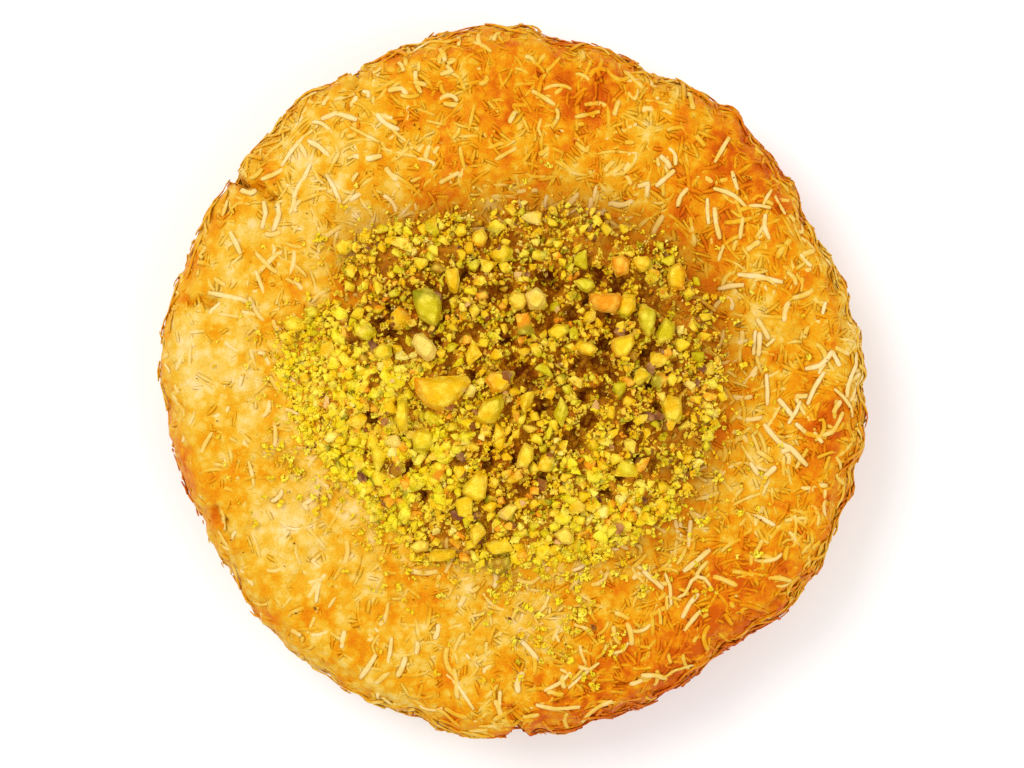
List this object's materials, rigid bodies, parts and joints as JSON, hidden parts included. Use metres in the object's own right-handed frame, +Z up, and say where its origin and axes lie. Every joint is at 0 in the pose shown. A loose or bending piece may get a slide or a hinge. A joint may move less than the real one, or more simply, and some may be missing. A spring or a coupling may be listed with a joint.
{
  "type": "kunafa cheesecake",
  "caption": "Round baked kunafa cheesecake: a flat cake under a crust of golden shredded pastry, with a heap of chopped pistachios on top.",
  "frame": {"origin": "middle of the flat underside", "axes": "+Z up; +Y towards the top edge of the picture and +X towards its right edge, seen from straight above"},
  "size_m": [0.1525, 0.1543, 0.044],
  "materials": {
    "kunafa_crust": "baked shredded pastry with a light syrup sheen",
    "chopped_pistachio": "matt broken nut"
  },
  "bodies": {
    "root": {"cheesecake": "kunafa_crust", "pistachio_heap": "chopped_pistachio"}
  },
  "joints": []
}
